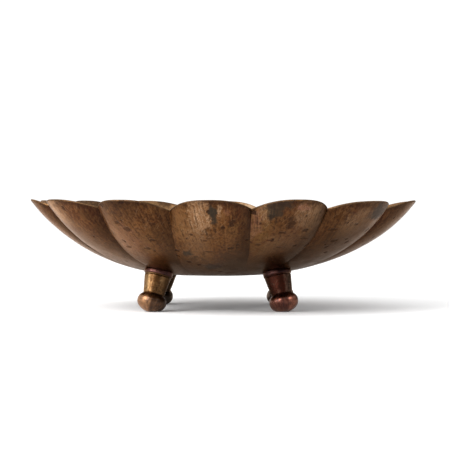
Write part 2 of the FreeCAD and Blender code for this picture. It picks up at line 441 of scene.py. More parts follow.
class Leg:
    """A leg's own frame, +Z up the leg from its ball's centre, and the heights in it."""

    def __init__(self, name, foot, number):
        self.name = name
        self.number = number
        self.matrix = leg_matrix(foot)
        crown = crown_round()
        self.seat = math.sqrt(crown ** 2 - STEM_FOOT_RADIUS ** 2) - (crown - BALL_HALF_HEIGHT)
        self.dish_face = dish_height(self.matrix, 0, 0, 0)
        self.stem_top = self.dish_face - COLLAR_HEIGHT
        self.washer_low = self.dish_face + WALL + SEAL_THICKNESS
        self.head_seat = self.washer_low + WASHER_THICKNESS

    def finish(self, piece, node, slot, material):
        finish_piece(piece, self.name + "_" + node, material)


def build_foot(leg, material):
    """Ball foot with a blind hole for the screw, rubbed flat where it stands."""
    seat_angle = math.degrees(math.acos(STEM_FOOT_RADIUS / crown_round()))
    sweep = (seat_angle + 90) / BALL_STEPS
    hole_end = leg.seat - THREAD_IN_BALL - BLIND_END
    outline = [(0, hole_end), (SCREW_RADIUS, hole_end), (SCREW_RADIUS, leg.seat)]
    outline += [(STEM_FOOT_RADIUS - 0.3 * MM, leg.seat)]
    outline += [ball_radius_height(seat_angle - sweep * k) for k in range(BALL_STEPS)]
    outline += [(0, -BALL_HALF_HEIGHT)]
    ball = lathe(leg.name + "_foot", outline, closed=False)
    roughen(ball, 0.10 * MM, 6 * MM, leg.number)
    ball.data.transform(leg.matrix)
    wear_flat(ball)
    leg.finish(ball, "ball_foot", "foot_copper_brass", material)


def build_stem(leg, material):
    """A long taper with a small cove under the collar."""
    low = leg.seat
    top = leg.stem_top
    taper = []
    for k in range(TAPER_STEPS + 1):
        t = k / TAPER_STEPS
        radius = STEM_FOOT_RADIUS + (STEM_TOP_RADIUS - 0.25 * MM - STEM_FOOT_RADIUS) * t ** 0.9
        taper.append((radius, low + 0.15 * MM + (top - low - 1.1 * MM) * t))
    outline = [(CLEARANCE_RADIUS, low), (STEM_FOOT_RADIUS - 0.2 * MM, low)] + taper
    outline += [(STEM_TOP_RADIUS - 0.65 * MM, top - 0.72 * MM),
                (STEM_TOP_RADIUS - 0.75 * MM, top - 0.5 * MM),
                (STEM_TOP_RADIUS - 0.6 * MM, top - 0.25 * MM),
                (STEM_TOP_RADIUS - 0.35 * MM, top),
                (CLEARANCE_RADIUS, top)]
    outline += along((CLEARANCE_RADIUS, top), (CLEARANCE_RADIUS, low), 3)[1:]
    stem = lathe(leg.name + "_leg", outline)
    roughen(stem, 0.08 * MM, 7 * MM, leg.number + 4)
    stem.data.transform(leg.matrix)
    leg.finish(stem, "stem", "stem_brass", material)


def build_collar(leg, material):
    """Beaded collar, its top fitted to the dish."""
    high = leg.dish_face + 6 * MM
    outline = ring_outline(COLLAR_RADIUS, leg.stem_top, high, 0.8 * MM)
    band = lathe(leg.name + "_bedding_ring", outline)
    fit_top(band, leg.matrix, high - COLLAR_SPARE)
    roughen(band, 0.08 * MM, 5 * MM, leg.number + 8)
    band.data.transform(leg.matrix)
    leg.finish(band, "collar", "collar_brass", material)


def build_seal(leg, material):
    """Leather ring, its underside fitted to the dish's floor."""
    outline = ring_outline(SEAL_RADIUS, -SEAL_SPARE, leg.washer_low, 0.35 * MM)
    seal = lathe(leg.name + "_leather_seal", outline)
    fit_underside(seal, leg.matrix)
    seal.data.transform(leg.matrix)
    leg.finish(seal, "seal", "seal_leather", material)


def build_washer(leg, material):
    outline = ring_outline(WASHER_RADIUS, leg.washer_low, leg.head_seat, 0.25 * MM)
    washer = lathe(leg.name + "_screw_washer", outline)
    roughen(washer, 0.04 * MM, 3 * MM, leg.number + 12)
    washer.data.transform(leg.matrix)
    leg.finish(washer, "washer", "washer_brass", material)


def build_screw(leg, material):
    """Screw with a domed, slotted head."""
    seat = leg.head_seat
    edge = seat + HEAD_EDGE
    crown_top = seat + HEAD_HEIGHT
    dome = crown_top - edge
    sphere = (HEAD_RADIUS ** 2 + dome ** 2) / (2 * dome)
    tip = leg.seat - THREAD_IN_BALL
    outline = [(0, tip), (SCREW_RADIUS - THREAD_BEVEL, tip), (SCREW_RADIUS, tip + THREAD_BEVEL)]
    outline += [(SCREW_RADIUS, seat), (HEAD_RADIUS - 0.2 * MM, seat),
                (HEAD_RADIUS, seat + 0.2 * MM), (HEAD_RADIUS, edge - 0.15 * MM)]
    for k in range(HEAD_STEPS):
        radius = HEAD_RADIUS * 0.985 * (1 - k / HEAD_STEPS)
        outline.append((radius, crown_top - sphere + math.sqrt(sphere ** 2 - radius ** 2)))
    outline.append((0, crown_top))
    screw = lathe(leg.name + "_slotted_screw", outline, closed=False)
    cut_slot(screw, crown_top - SLOT_DEPTH, math.radians(SLOT_TURNS_DEG[leg.number]))
    screw.data.transform(leg.matrix)
    leg.finish(screw, "screw", "screw_brass", material)


def ring_outline(radius, low, high, bevel):
    """Section of a ring that the screw passes through."""
    return rounded([(CLEARANCE_RADIUS, low), (radius, low),
                    (radius, high), (CLEARANCE_RADIUS, high)], bevel)


def fit_top(piece, matrix, above):
    """Move a ring's vertices that are above a height onto the dish's wall, along the leg."""
    for vertex in piece.data.vertices:
        x, y, z = vertex.co
        if z > above:
            wall = dish_height(matrix, x, y, COLLAR_SUNK)
            vertex.co.z = wall + (z - above - COLLAR_SPARE)


def fit_underside(piece, matrix):
    """Move a ring's vertices that are below the ball's centre onto the dish's floor."""
    for vertex in piece.data.vertices:
        x, y, z = vertex.co
        if z < 0:
            wall = dish_height(matrix, x, y, WALL - SEAL_SUNK)
            vertex.co.z = wall + (z + SEAL_SPARE)


# ---------------------------------------------------------------- materials

SHEET_AROUND_MM = 100.0       # radius at which strokes have their true width, three quarters out
SHEET_UP_MM = 150.0           # about the length of the wall from the centre to the rim
STROKE_SHIFT = 41.0           # keeps one set of strokes clear of the next

class Nodes:
    """A node tree that is added to one node at a time."""

    def __init__(self, tree):
        self.tree = tree

    def connect(self, socket, value):
        if isinstance(value, bpy.types.NodeSocket):
            self.tree.links.new(value, socket)
        elif isinstance(value, tuple) and len(value) == 3 and socket.type == "RGBA":
            socket.default_value = (*value, 1)
        else:
            socket.default_value = value

    def node(self, kind, inputs, output=0, **settings):
        made = self.tree.nodes.new(kind)
        for key, value in settings.items():
            setattr(made, key, value)
        for key, value in inputs.items():
            self.connect(made.inputs[key], value)
        return made.outputs[output]

    def position(self):
        return self.node("ShaderNodeTexCoord", {}, "Object")

    def attribute(self, name, output="Fac"):
        return self.node("ShaderNodeAttribute", {}, output, attribute_name=name)

    def split(self, vector):
        made = self.tree.nodes.new("ShaderNodeSeparateXYZ")
        self.connect(made.inputs[0], vector)
        return made.outputs

    def join(self, x, y, z):
        return self.node("ShaderNodeCombineXYZ", {0: x, 1: y, 2: z})

    def noise(self, vector, scale, detail=4.0, rough=0.55, distort=0.0, output="Fac"):
        return self.node("ShaderNodeTexNoise", {
            "Vector": vector, "Scale": scale, "Detail": detail,
            "Roughness": rough, "Distortion": distort}, output)

    def cells(self, vector, scale, output="Distance"):
        return self.node("ShaderNodeTexVoronoi", {"Vector": vector, "Scale": scale}, output)

    def math(self, operation, a, b=0.0, c=None):
        inputs = {0: a, 1: b}
        if c is not None:
            inputs[2] = c
        return self.node("ShaderNodeMath", inputs, operation=operation)

    def span(self, value, low, high, to_low=0.0, to_high=1.0):
        return self.node("ShaderNodeMapRange", {
            "Value": value, "From Min": low, "From Max": high,
            "To Min": to_low, "To Max": to_high}, interpolation_type="SMOOTHSTEP")

    def mix(self, factor, a, b):
        made = self.tree.nodes.new("ShaderNodeMix")
        made.data_type = "RGBA"
        self.connect(made.inputs[0], factor)
        self.connect(made.inputs[6], a)
        self.connect(made.inputs[7], b)
        return made.outputs[2]

    def bump(self, height, distance, strength=1.0, normal=None):
        inputs = {"Height": height, "Distance": distance, "Strength": strength}
        if normal is not None:
            inputs["Normal"] = normal
        return self.node("ShaderNodeBump", inputs)


class Shader(Nodes):
    """A material of one piece or studio surface."""

    def __init__(self, name):
        self.material = bpy.data.materials.new(name)
        self.material.use_nodes = True
        super().__init__(self.material.node_tree)
        self.surface = self.tree.nodes["Principled BSDF"]

    def lacquer(self, weight, roughness):
        """Thin wax or grease over the metal, and the tint of its edges."""
        self.surface.inputs["Specular Tint"].default_value = EDGE_TINT
        self.surface.inputs["Coat Weight"].default_value = weight
        self.surface.inputs["Coat Roughness"].default_value = roughness

    def finish(self, colour, metallic, roughness, normal):
        self.connect(self.surface.inputs["Base Color"], colour)
        self.connect(self.surface.inputs["Metallic"], metallic)
        self.connect(self.surface.inputs["Roughness"], roughness)
        self.connect(self.surface.inputs["Normal"], normal)
        return self.material


OLIVE = (0.0931, 0.0348, 0.0082)
RED_BROWN = (0.0792, 0.0218, 0.0068)
PURPLE_BROWN = (0.0670, 0.0234, 0.0109)
TAN = (0.1440, 0.0625, 0.0215)
PALE = (0.415, 0.248, 0.137)
DARK = (0.0108, 0.0034, 0.0013)
SPOT_BROWN = (0.0195, 0.0064, 0.0028)
GREEN_BLACK = (0.0126, 0.0089, 0.0039)
COPPER_RED = (0.36, 0.165, 0.105)
BRIGHT = (0.2088, 0.1017, 0.0380)
OLIVE_TAN = (0.175, 0.086, 0.026)
DUSKY = (0.0172, 0.0066, 0.0036)
INSIDE_BRASS = (0.275, 0.155, 0.070)
INSIDE_GOLD = (0.480, 0.310, 0.160)
CREAM_BRASS = (0.58, 0.425, 0.285)
EDGE_TINT = (0.95, 0.76, 0.63, 1)

# Depths of the marks in the metal
PIT_DEPTH = 0.25 * MM
STROKE_DEPTH = 0.07 * MM
TOOL_RING_DEPTH = 0.06 * MM
BLOTCH_DEPTH = 0.35 * MM
SPECK_DEPTH = 0.12 * MM
LEATHER_GRAIN_DEPTH = 0.15 * MM

# Sides of each leg painted lighter, partly rubbed bright metal and partly painted highlight,
# with painted shade on the other sides: angle round its axis from straight outwards,
# half width in degrees, and strength
STEM_WEAR_AND_HIGHLIGHT = {
    "front_left": ((-8, 27, 1.0), (92, 24, 0.35)),
    "front_right": ((24, 30, 0.9),),
    "back_left": ((60, 30, 0.8),),
    "back_right": ((150, 30, 0.8),),
}
FOOT_WEAR_AND_HIGHLIGHT = {
    "front_left": ((-12, 46, 1.0), (72, 16, 0.25)),
    "front_right": ((6, 30, 1.0), (-100, 30, 0.4)),
    "back_left": ((30, 50, 0.8),),
    "back_right": ((-20, 50, 0.8),),
}

# Light, dark and tarnished colours of each foot and stem. The light colour is partly painted
# highlight and the dark one partly painted shade; the back legs' colours are darker, painted shade.
FOOT_COLOURS = {
    "front_left": ((0.290, 0.145, 0.066), (0.036, 0.013, 0.004), (0.012, 0.005, 0.002)),
    "front_right": ((0.230, 0.080, 0.046), (0.066, 0.016, 0.009), (0.012, 0.005, 0.003)),
    "back_left": ((0.13, 0.062, 0.030), (0.032, 0.018, 0.009), (0.012, 0.006, 0.004)),
    "back_right": ((0.12, 0.048, 0.026), (0.030, 0.014, 0.009), (0.012, 0.006, 0.004)),
}
STEM_COLOURS = {
    "front_left": ((0.240, 0.140, 0.062), (0.058, 0.024, 0.007), (0.016, 0.007, 0.003)),
    "front_right": ((0.120, 0.074, 0.052), (0.034, 0.0085, 0.0045), (0.010, 0.005, 0.003)),
    "back_left": ((0.13, 0.075, 0.030), (0.035, 0.019, 0.009), (0.014, 0.007, 0.004)),
    "back_right": ((0.11, 0.060, 0.028), (0.032, 0.016, 0.009), (0.012, 0.006, 0.004)),
}

SHADED_SIDE_DEG = 70            # middle of the side of the bowl given painted shade, from the front petal

# Stains on the outside: turn from the front petal in degrees, share of the radius,
# half width in degrees, half height as a share, and strength
DARK_STAINS = (
    (1.2, 0.950, 1.4, 0.040, 1.0),
    (19.5, 0.970, 3.8, 0.040, 0.85),
    (57.0, 0.960, 5.5, 0.034, 1.0),
    (-9.2, 0.690, 2.2, 0.032, 0.9),
    (-6.2, 0.655, 1.0, 0.009, 0.8),
    (1.6, 0.530, 4.5, 0.045, 0.9),
)
BROWN_SPOTS = (
    (25.4, 0.895, 0.9, 0.020, 0.90),
    (29.0, 0.940, 0.5, 0.008, 0.80),
    (16.0, 0.900, 0.7, 0.008, 0.90),
    (17.5, 0.770, 0.8, 0.008, 0.80),
    (-6.0, 0.840, 0.7, 0.007, 0.80),
    (-1.5, 0.800, 0.7, 0.006, 0.70),
    (10.0, 0.770, 1.0, 0.008, 0.80),
    (7.3, 0.912, 1.2, 0.012, 0.9),
    (4.2, 0.880, 0.8, 0.009, 1.0),
    (7.8, 0.742, 1.3, 0.010, 0.9),
    (-0.5, 0.708, 1.5, 0.008, 0.8),
    (13.0, 0.805, 0.7, 0.008, 0.9),
    (24.5, 0.925, 1.0, 0.012, 0.8),
    (23.5, 0.850, 1.0, 0.008, 0.8),
    (26.0, 0.745, 1.8, 0.006, 0.9),
    (33.5, 0.815, 1.8, 0.007, 0.8),
    (-27.0, 0.870, 1.2, 0.012, 0.8),
    (-33.0, 0.745, 1.4, 0.010, 0.8),
    (-24.0, 0.735, 1.2, 0.012, 0.9),
    (18.6, 0.935, 0.9, 0.011, 0.9),
    (21.5, 0.800, 0.9, 0.009, 0.8),
    (31.0, 0.865, 0.9, 0.009, 0.8),
    (43.0, 0.870, 1.3, 0.010, 0.8),
    (47.0, 0.800, 1.5, 0.010, 0.8),
    (50.0, 0.900, 1.1, 0.009, 0.8),
    (-20.5, 0.800, 1.2, 0.009, 0.8),
    (-30.0, 0.905, 1.1, 0.009, 0.7),
    (-18.0, 0.900, 0.9, 0.009, 0.7),
)
# Pale patches: metal rubbed paler, and painted highlight on the petals' crowns
PALE_WEAR_AND_HIGHLIGHTS = (
    (-2.6, 0.930, 2.8, 0.075, 1.0),
    (-4.5, 0.800, 4.5, 0.130, 0.30),
    (3.1, 0.962, 0.6, 0.022, 0.9),
    (16.8, 0.955, 2.0, 0.045, 0.55),
    (30.5, 0.935, 4.2, 0.060, 0.8),
    (26.0, 0.760, 6.0, 0.100, 0.35),
    (49.0, 0.900, 4.0, 0.080, 0.75),
    (-33.0, 0.780, 4.0, 0.110, 0.5),
    (-55.0, 0.950, 3.2, 0.060, 1.0),
)
COPPER_PATCHES = (
    (27.0, 0.972, 2.4, 0.016, 1.0),
    (5.2, 0.955, 1.2, 0.020, 0.25),
    (14.5, 0.900, 2.2, 0.090, 0.45),
    (-30.0, 0.800, 7.0, 0.090, 0.35),
)
OLIVE_TAN_PATCHES = (
    (15.0, 0.965, 2.6, 0.050, 1.00),
    (17.0, 0.860, 3.8, 0.150, 0.95),
    (21.0, 0.700, 4.5, 0.110, 0.80),
    (9.0, 0.800, 3.5, 0.120, 0.35),
    (-24.0, 0.740, 4.0, 0.090, 0.45),
    (46.0, 0.820, 3.5, 0.100, 0.45),
    (-8.0, 0.880, 4.0, 0.090, 0.45),
    (33.0, 0.880, 3.0, 0.080, 0.40),
)
DUSKY_PATCHES = (
    (-24.5, 0.965, 8.0, 0.055, 0.60),
    (30.0, 0.620, 9.0, 0.120, 0.35),
    (35.0, 0.760, 5.0, 0.060, 0.45),
    (38.0, 0.650, 10.0, 0.115, 0.95),
    (51.5, 0.780, 8.0, 0.085, 0.80),
    (9.5, 0.600, 6.5, 0.130, 0.85),
    (-24.0, 0.800, 9.0, 0.110, 0.22),
    (55.0, 0.860, 6.0, 0.060, 0.45),
    (60.0, 0.680, 12.0, 0.140, 0.68),
    (76.0, 0.900, 10.0, 0.140, 0.50),
    (-52.0, 0.760, 10.0, 0.140, 0.50),
    (122.0, 0.850, 12.0, 0.120, 0.45),
    (-140.0, 0.780, 14.0, 0.130, 0.45),
)
# Darker places inside; those near -125 degrees are painted shade on the far wall, seen past the front
# petals
DUSKY_AND_SHADE_INSIDE = (
    (-124.0, 0.965, 15.0, 0.090, 0.82),
    (-128.0, 0.860, 26.0, 0.160, 0.30),
    (-155.5, 0.988, 3.5, 0.022, 0.80),
    (20.0, 0.820, 18.0, 0.140, 0.35),
    (100.0, 0.560, 28.0, 0.160, 0.35),
    (-60.0, 0.480, 30.0, 0.140, 0.35),
    (-170.0, 0.640, 22.0, 0.120, 0.30),
)
OLIVE_PATCHES = (
    (21.0, 0.900, 3.4, 0.090, 0.9),
    (-14.0, 0.700, 4.0, 0.100, 0.6),
    (-38.0, 0.860, 5.0, 0.060, 0.5),
    (44.0, 0.780, 5.0, 0.090, 0.7),
)
# Paler places inside; the small one near the rim at 170 degrees is a painted highlight
POLISH_AND_HIGHLIGHT_INSIDE = (
    (170.0, 0.972, 8.0, 0.060, 0.75),
    (58.0, 0.780, 24.0, 0.180, 0.30),
    (-96.0, 0.650, 30.0, 0.200, 0.25),
)
SCREW_SHARE = 0.385
SCREW_GRIME = tuple(
    (math.degrees(math.atan2(foot.y, foot.x - BASE_OFFSET_X)) + 90 - PETAL_TURN_DEG, SCREW_SHARE,
     10.0, 0.080, 0.75) for foot in feet)


TALLER = (1.0, 1.0, 0.45)      # heights count for less, so marks are drawn out up the wall
SOFT_START = 1.6               # where a soft patch begins and is full, in half widths
SOFT_FULL = 0.2
PIT_WANDER = 3.5 * MM          # how far pits stray from where their cells put them


class Sheet(Shader):
    """The dish's material: where a point of the sheet lies, and the noises that its marks share.

    Scales of noise are per metre, so 95 gives mottles of about 10 mm.
    """

    def __init__(self):
        super().__init__("aged_brass_sheet")
        self.here = self.position()
        cosine, sine, self.share = self.split(self.attribute("place", "Vector"))
        self.turn = self.math("ARCTAN2", sine, cosine)
        self.inside = self.attribute("inside")
        self.outside = self.math("SUBTRACT", 1.0, self.inside)
        self.wear = self.attribute("wear")
        self.fold = self.attribute("fold")
        self.across = self.attribute("across")

        tall = self.node("ShaderNodeVectorMath", {0: self.here, 1: TALLER}, operation="MULTIPLY")
        self.cloud = self.noise(self.here, 16, 5, 0.55, 0.6)
        self.drift = self.noise(self.here, 31, 5, 0.6, 0.5)
        self.mottle = self.noise(tall, 95, 6, 0.65, 0.3)
        self.speckle = self.noise(tall, 210, 5, 0.7)
        self.grain = self.noise(tall, 600, 5, 0.7)
        self.brushed = self.strokes(6, 1.0, 11, 0.0)
        self.leaning = self.strokes(-30, 0.9, 10, 4.0)
        self.crossed = self.strokes(50, 0.9, 6, 8.0)
        self.warp = self.span(self.noise(self.here, 150, 4, 0.65), 0.25, 0.75, -0.55, 0.55)
        self.fray = self.span(self.noise(self.here, 330, 4, 0.7), 0.25, 0.75, -0.60, 0.60)

    def strokes(self, degrees, width, length, seed):
        """Noise drawn out into strokes that lean from straight up the wall; sizes in mm."""
        lean = math.tan(math.radians(degrees)) * SHEET_UP_MM / SHEET_AROUND_MM
        sheared = self.math("ADD", self.turn, self.math("MULTIPLY", self.share, lean))
        across = self.math("MULTIPLY", self.math("COSINE", sheared), SHEET_AROUND_MM / width)
        ahead = self.math("MULTIPLY", self.math("SINE", sheared), SHEET_AROUND_MM / width)
        up = self.math("MULTIPLY", self.share, SHEET_UP_MM / length)
        shift = self.math("MULTIPLY", self.math("ADD", self.inside, seed), STROKE_SHIFT)
        return self.noise(self.join(across, ahead, self.math("ADD", up, shift)), 1.0, 3, 0.6, 0.25)

    def patches(self, spots, face, edge, starts=1.25, full=0.55):
        """Irregular patches at given places, fading in towards their middles, where face is 1."""
        total = 0.0
        for degrees, at, wide, tall, strength in spots:
            away = self.math("SUBTRACT", self.turn, math.radians(degrees))
            away = self.math("WRAP", away, math.pi, -math.pi)
            across = self.math("DIVIDE", away, math.radians(wide))
            up = self.math("DIVIDE", self.math("SUBTRACT", self.share, at), tall)
            far = self.node("ShaderNodeVectorMath", {0: self.join(across, up, 0.0)}, "Value",
                            operation="LENGTH")
            spot = self.span(self.math("ADD", far, edge), starts, full, 0.0, strength)
            total = self.math("MAXIMUM", total, spot)
        return self.math("MULTIPLY", total, face)

    def pitting(self, scale, biggest, rarest):
        """Round pits of many sizes, one to a cell where there is one at all."""
        wander = self.noise(self.here, 260, 3, 0.6, 0.0, "Color")
        shift = self.node("ShaderNodeVectorMath", {0: wander, "Scale": PIT_WANDER}, operation="SCALE")
        at = self.node("ShaderNodeVectorMath", {0: self.here, 1: shift}, operation="ADD")
        at = self.node("ShaderNodeVectorMath", {0: at, 1: TALLER}, operation="MULTIPLY")
        chance = self.split(self.cells(at, scale, "Color"))[0]
        size = self.span(chance, rarest, 1.0, 0.0, biggest)
        return self.span(self.math("SUBTRACT", size, self.cells(at, scale)), -0.01, 0.05)


def patina(m):
    """Brown and olive tarnish with its mottles, before anything has marked it."""
    colour = m.mix(m.span(m.cloud, 0.42, 0.58), OLIVE, RED_BROWN)
    colour = m.mix(m.span(m.drift, 0.52, 0.66, 0.0, 0.75), colour, PURPLE_BROWN)
    colour = m.mix(m.span(m.drift, 0.46, 0.32, 0.0, 0.55), colour, TAN)
    colour = m.mix(m.span(m.mottle, 0.50, 0.70, 0.0, 0.65), colour, TAN)
    colour = m.mix(m.span(m.mottle, 0.48, 0.30, 0.0, 0.48), colour, DARK)
    colour = m.mix(m.span(m.speckle, 0.53, 0.68, 0.0, 0.38), colour, TAN)
    return m.mix(m.span(m.speckle, 0.46, 0.32, 0.0, 0.26), colour, DARK)


def add_outside_patches(m, colour, warm, wear_and_highlight, copper):
    """Patches of other tarnish, and paler places that are partly metal rubbed down and partly painted
    highlight.
    """
    patchy = m.span(m.mottle, 0.3, 0.6, 0.4, 0.85)
    uneven = m.span(m.speckle, 0.35, 0.6, 0.45, 1.0)
    colour = m.mix(m.math("MULTIPLY", warm, uneven), colour, OLIVE_TAN)
    olive = m.patches(OLIVE_PATCHES, m.outside, m.warp)
    colour = m.mix(m.math("MULTIPLY", olive, patchy), colour, OLIVE)
    rubbed = m.math("ADD", m.span(m.brushed, 0.34, 0.66, 0.45, 0.80),
                    m.span(m.leaning, 0.5, 0.66, 0.0, 0.30))
    # Pale places: rubbed metal and painted highlight
    colour = m.mix(m.math("MULTIPLY", wear_and_highlight, m.math("MINIMUM", rubbed, 0.95)), colour, PALE)
    return m.mix(m.math("MULTIPLY", copper, patchy), colour, COPPER_RED)


def add_strokes(m, colour):
    """Scratches and rubbing marks in three directions, over fine grain."""
    colour = m.mix(m.span(m.brushed, 0.52, 0.63, 0.0, 0.75), colour, TAN)
    colour = m.mix(m.span(m.brushed, 0.47, 0.35, 0.0, 0.55), colour, DARK)
    colour = m.mix(m.span(m.leaning, 0.58, 0.70, 0.0, 0.24), colour, PALE)
    colour = m.mix(m.span(m.crossed, 0.60, 0.72, 0.0, 0.28), colour, TAN)
    colour = m.mix(m.span(m.crossed, 0.42, 0.30, 0.0, 0.34), colour, DARK)
    colour = m.mix(m.span(m.grain, 0.51, 0.59, 0.0, 0.60), colour, TAN)
    return m.mix(m.span(m.grain, 0.49, 0.41, 0.0, 0.42), colour, DARK)


def add_shade_and_tarnish(m, colour):
    """Painted shade in the creases, on one side of each petal, on one side of the bowl and towards
    the bottom of the outside, with patches of dusky tarnish.
    """
    # Painted shade in the creases, heavier on one side of each
    crease_side_shade = m.span(m.across, -0.2, 0.2, 0.15, 0.75)
    colour = m.mix(m.math("MULTIPLY", m.fold, crease_side_shade), colour, DARK)
    # Painted shade on the same side of every petal, on the outside
    ragged = m.math("ADD", m.across, m.span(m.mottle, 0.3, 0.7, -0.15, 0.15))
    flank_shade = m.math("MULTIPLY", m.span(ragged, 0.30, 0.90, 0.0, 0.58), m.span(m.share, 0.40, 0.60))
    colour = m.mix(m.math("MULTIPLY", flank_shade, m.outside), colour, DARK)
    # Painted shade on one side of the bowl
    facing = m.math("COSINE", m.math("SUBTRACT", m.turn, math.radians(SHADED_SIDE_DEG)))
    side_shade = m.math("MULTIPLY", m.span(facing, 0.35, 0.95, 0.0, 0.48), m.outside)
    colour = m.mix(side_shade, colour, DARK)
    dusky = m.patches(DUSKY_PATCHES, m.outside, m.fray, SOFT_START, SOFT_FULL)
    colour = m.mix(m.math("MULTIPLY", dusky, m.span(m.grain, 0.3, 0.6, 1.0, 0.8)), colour, DUSKY)
    # Painted shade, darker towards the bottom of the outside
    underside = m.math("MULTIPLY", m.span(m.share, 0.74, 0.44, 0.0, 0.62), m.outside)
    return m.mix(underside, colour, DARK)


def add_rim(m, colour, paler_patches):
    """A dark line under the lip, except on the paler and copper patches, and a lip with bright wear.
    """
    ragged = m.math("ADD", m.share, m.span(m.mottle, 0.3, 0.7, -0.012, 0.012))
    under_lip = m.span(ragged, 0.962, 0.992, 0.0, 0.6)
    dirty = m.math("SUBTRACT", m.outside, m.math("MULTIPLY", paler_patches, m.outside))
    colour = m.mix(m.math("MULTIPLY", under_lip, dirty), colour, DARK)
    colour = m.mix(m.math("MULTIPLY", m.wear, 0.85), colour, DARK)
    bright = m.span(m.noise(m.here, 160, 3), 0.50, 0.68, 0.0, 0.35)
    return m.mix(m.math("MULTIPLY", m.wear, bright), colour, BRIGHT)


def add_inside(m, colour):
    """The inside is worn to paler brass, most of all on the floor, with dirt round the screws,
    painted shade on the far wall seen past the front petals and a painted highlight near its rim.
    """
    worn = m.math("MULTIPLY", m.inside, m.span(m.drift, 0.36, 0.62, 0.35, 0.80))
    colour = m.mix(worn, colour, INSIDE_BRASS)
    rubbed_floor = m.math("MULTIPLY", m.span(m.share, 0.62, 0.25),
                          m.span(m.cloud, 0.38, 0.62, 0.1, 0.55))
    colour = m.mix(m.math("MULTIPLY", rubbed_floor, m.inside), colour, INSIDE_GOLD)
    near_edge = m.math("ABSOLUTE", m.math("SUBTRACT", m.share, FLAT_BASE))
    grime = m.math("MULTIPLY", m.span(near_edge, 0.035, 0.0, 0.0, 0.45),
                   m.span(m.mottle, 0.35, 0.6, 0.4, 1.0))
    colour = m.mix(m.math("MULTIPLY", grime, m.inside), colour, DUSKY)
    # Dirt round the screws and dusky patches inside, some of them painted shade
    grime_and_shade = m.patches(DUSKY_AND_SHADE_INSIDE + SCREW_GRIME, m.inside, m.fray, SOFT_START, SOFT_FULL)
    colour = m.mix(m.math("MULTIPLY", grime_and_shade, 0.97), colour, DUSKY)
    # Paler polished places inside, one of them a painted highlight
    polish_and_highlight = m.patches(POLISH_AND_HIGHLIGHT_INSIDE, m.inside, m.fray, SOFT_START, SOFT_FULL)
    return m.mix(m.math("MULTIPLY", polish_and_highlight, 0.8), colour, CREAM_BRASS)


def dish_material():
    m = Sheet()
    warm = m.patches(OLIVE_TAN_PATCHES, m.outside, m.fray, 1.5, 0.2)
    wear_and_highlight = m.patches(PALE_WEAR_AND_HIGHLIGHTS, m.outside, m.fray, 1.6, 0.3)
    copper = m.patches(COPPER_PATCHES, m.outside, m.warp)
    stains = m.patches(DARK_STAINS, m.outside, m.warp)
    spots = m.patches(BROWN_SPOTS, m.outside, m.warp)
    pits = m.math("MAXIMUM", m.pitting(75, 0.14, 0.66), m.pitting(150, 0.28, 0.57))
    pits = m.math("MAXIMUM", pits, spots)
    paler_patches = m.math("MAXIMUM", m.math("MAXIMUM", wear_and_highlight, copper), warm)

    colour = add_outside_patches(m, patina(m), warm, wear_and_highlight, copper)
    colour = add_strokes(m, colour)
    colour = m.mix(m.math("MULTIPLY", pits, 0.80), colour, SPOT_BROWN)
    dense = m.span(m.grain, 0.3, 0.6, 0.75, 0.97)
    colour = m.mix(m.math("MULTIPLY", stains, dense), colour, GREEN_BLACK)
    colour = add_shade_and_tarnish(m, colour)
    colour = add_rim(m, colour, paler_patches)
    colour = add_inside(m, colour)

    rough = m.span(m.mottle, 0.35, 0.70, 0.34, 0.46)
    rough = m.math("ADD", rough, m.math("MULTIPLY", m.math("MAXIMUM", stains, pits), 0.20))
    rough = m.math("SUBTRACT", rough, m.math("MULTIPLY", wear_and_highlight, 0.05))
    metal = m.math("SUBTRACT", 1.0, m.math("MULTIPLY", stains, 0.25))

    height = m.math("SUBTRACT", m.math("MULTIPLY", m.grain, 0.25), m.math("MULTIPLY", pits, 1.0))
    normal = m.bump(height, PIT_DEPTH, 0.8)
    lines = m.math("ADD", m.brushed, m.math("ADD", m.leaning, m.crossed))
    normal = m.bump(lines, STROKE_DEPTH, 0.6, normal)
    m.lacquer(0.07, 0.22)
    return m.finish(colour, metal, rough, normal)


